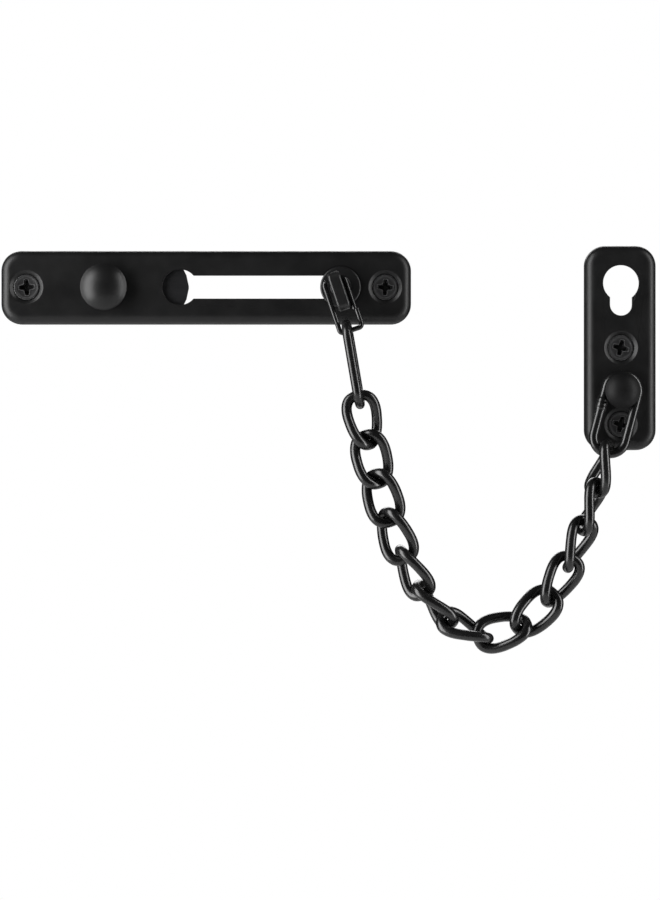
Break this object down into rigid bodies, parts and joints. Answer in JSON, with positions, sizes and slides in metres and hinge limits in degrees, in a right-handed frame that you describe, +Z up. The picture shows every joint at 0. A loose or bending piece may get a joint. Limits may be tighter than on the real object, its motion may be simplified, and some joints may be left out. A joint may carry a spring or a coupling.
{
  "type": "door chain guard",
  "caption": "Surface-mounted door chain guard: slotted slide plate with push-button latch, swivelling stud, twisted-link chain and a keeper plate with a keyhole.",
  "frame": {"origin": "middle of the slide plate's back face, on the door's surface", "axes": "+Z up, +X along the slide plate towards the keeper, -Y out from the door towards the room"},
  "size_m": [0.214, 0.0336, 0.1327],
  "materials": {
    "black_coat": "satin black baked coating",
    "black_wire": "black coating, a little glossier than the plates",
    "black_screw": "black coating, worn bright on the rims and in the cross recess",
    "spring_steel": "plain spring steel"
  },
  "bodies": {
    "slide_plate": {"slide_plate": "black_coat", "plate_screw_left": "black_screw", "plate_screw_right": "black_screw"},
    "button": {"push_button": "black_coat", "latch_spring": "spring_steel"},
    "stud": {"slider_stud": "black_wire"},
    "swivel_eye": {"swivel_eye": "black_wire"},
    "bail": {"bail": "black_wire"},
    "long_link": {"long_link": "black_wire"},
    "link_01": {"chain_link_01": "black_wire"},
    "link_02": {"chain_link_02": "black_wire"},
    "link_03": {"chain_link_03": "black_wire"},
    "link_04": {"chain_link_04": "black_wire"},
    "link_05": {"chain_link_05": "black_wire"},
    "link_06": {"chain_link_06": "black_wire"},
    "link_07": {"chain_link_07": "black_wire"},
    "link_08": {"chain_link_08": "black_wire"},
    "link_09": {"chain_link_09": "black_wire"},
    "link_10": {"chain_link_10": "black_wire"},
    "link_11": {"chain_link_11": "black_wire"},
    "link_12": {"chain_link_12": "black_wire"},
    "link_13": {"chain_link_13": "black_wire"},
    "keeper_loop": {"keeper_loop": "black_wire"},
    "keeper": {"keeper_plate": "black_coat", "keeper_rivet": "black_coat", "keeper_screw_upper": "black_screw", "keeper_screw_lower": "black_screw"}
  },
  "joints": [
    {"name": "button_press", "type": "hinge", "parent": "slide_plate", "child": "button", "pos_m": [-0.05, -0.0036, 0], "axis": [0, 0, 1], "range_deg": [0, 3.8], "stiffness_Nm_per_rad": 1.5, "springref_deg": -1.15, "deforming": ["latch_spring"]},
    {"name": "stud_slide", "type": "slide", "parent": "slide_plate", "child": "stud", "axis": [1, 0, 0], "range_m": [-0.0438, 0]},
    {"name": "eye_swivel", "type": "hinge", "parent": "stud", "child": "swivel_eye", "pos_m": [0.0439, -0.0122, 0], "axis": [0, 1, 0], "range_deg": [-90, 90]},
    {"name": "bail_tilt", "type": "hinge", "parent": "swivel_eye", "child": "bail", "pos_m": [0.04171, -0.0122, 0.00179], "axis": [0.9472, 0, 0.3206], "range_deg": [-85, 0]},
    {"name": "long_link_tilt", "type": "hinge", "parent": "bail", "child": "long_link", "pos_m": [0.04617, -0.0122, -0.0148], "axis": [-0.9472, 0, -0.3206], "range_deg": [-45, 60]},
    {"name": "link_01_swing", "type": "hinge", "parent": "long_link", "child": "link_01", "pos_m": [0.05021, -0.0122, -0.03844], "axis": [0, 1, 0], "range_deg": [-60, 60]},
    {"name": "link_02_swing", "type": "hinge", "parent": "link_01", "child": "link_02", "pos_m": [0.05258, -0.0121, -0.0498], "axis": [0, -1, 0], "range_deg": [-26, 29]},
    {"name": "link_03_swing", "type": "hinge", "parent": "link_02", "child": "link_03", "pos_m": [0.05566, -0.0119, -0.06236], "axis": [0, 1, 0], "range_deg": [-30, 26]},
    {"name": "link_04_swing", "type": "hinge", "parent": "link_03", "child": "link_04", "pos_m": [0.05937, -0.0117, -0.07476], "axis": [0, -1, 0], "range_deg": [-29, 27]},
    {"name": "link_05_swing", "type": "hinge", "parent": "link_04", "child": "link_05", "pos_m": [0.06398, -0.0115, -0.08685], "axis": [0, 1, 0], "range_deg": [-24, 36]},
    {"name": "link_06_swing", "type": "hinge", "parent": "link_05", "child": "link_06", "pos_m": [0.07001, -0.0113, -0.09829], "axis": [0, -1, 0], "range_deg": [-45, 17]},
    {"name": "link_07_swing", "type": "hinge", "parent": "link_06", "child": "link_07", "pos_m": [0.07839, -0.0111, -0.10811], "axis": [0, 1, 0], "range_deg": [-2.5, 45]},
    {"name": "link_08_swing", "type": "hinge", "parent": "link_07", "child": "link_08", "pos_m": [0.09012, -0.0109, -0.11338], "axis": [0, -1, 0], "range_deg": [-45, 2.5]},
    {"name": "link_09_swing", "type": "hinge", "parent": "link_08", "child": "link_09", "pos_m": [0.10251, -0.0107, -0.10997], "axis": [0, 1, 0], "range_deg": [-9, 45]},
    {"name": "link_10_swing", "type": "hinge", "parent": "link_09", "child": "link_10", "pos_m": [0.11163, -0.0105, -0.10085], "axis": [0, -1, 0], "range_deg": [-43, 20]},
    {"name": "link_11_swing", "type": "hinge", "parent": "link_10", "child": "link_11", "pos_m": [0.11812, -0.0103, -0.08967], "axis": [0, 1, 0], "range_deg": [-23, 38]},
    {"name": "link_12_swing", "type": "hinge", "parent": "link_11", "child": "link_12", "pos_m": [0.12302, -0.0101, -0.07769], "axis": [0, -1, 0], "range_deg": [-40, 25]},
    {"name": "link_13_swing", "type": "hinge", "parent": "link_12", "child": "link_13", "pos_m": [0.12691, -0.0099, -0.06535], "axis": [0, 1, 0], "range_deg": [-25, 39]},
    {"name": "loop_swing", "type": "hinge", "parent": "link_13", "child": "keeper_loop", "pos_m": [0.1312, -0.00932, -0.04903], "axis": [-0.0241, 0.9959, -0.0876], "range_deg": [-30, 20]},
    {"name": "keeper_swing", "type": "hinge", "parent": "keeper_loop", "child": "keeper", "pos_m": [0.13537, -0.0098, -0.03386], "axis": [0, -1, 0], "range_deg": [-90, 90]}
  ]
}
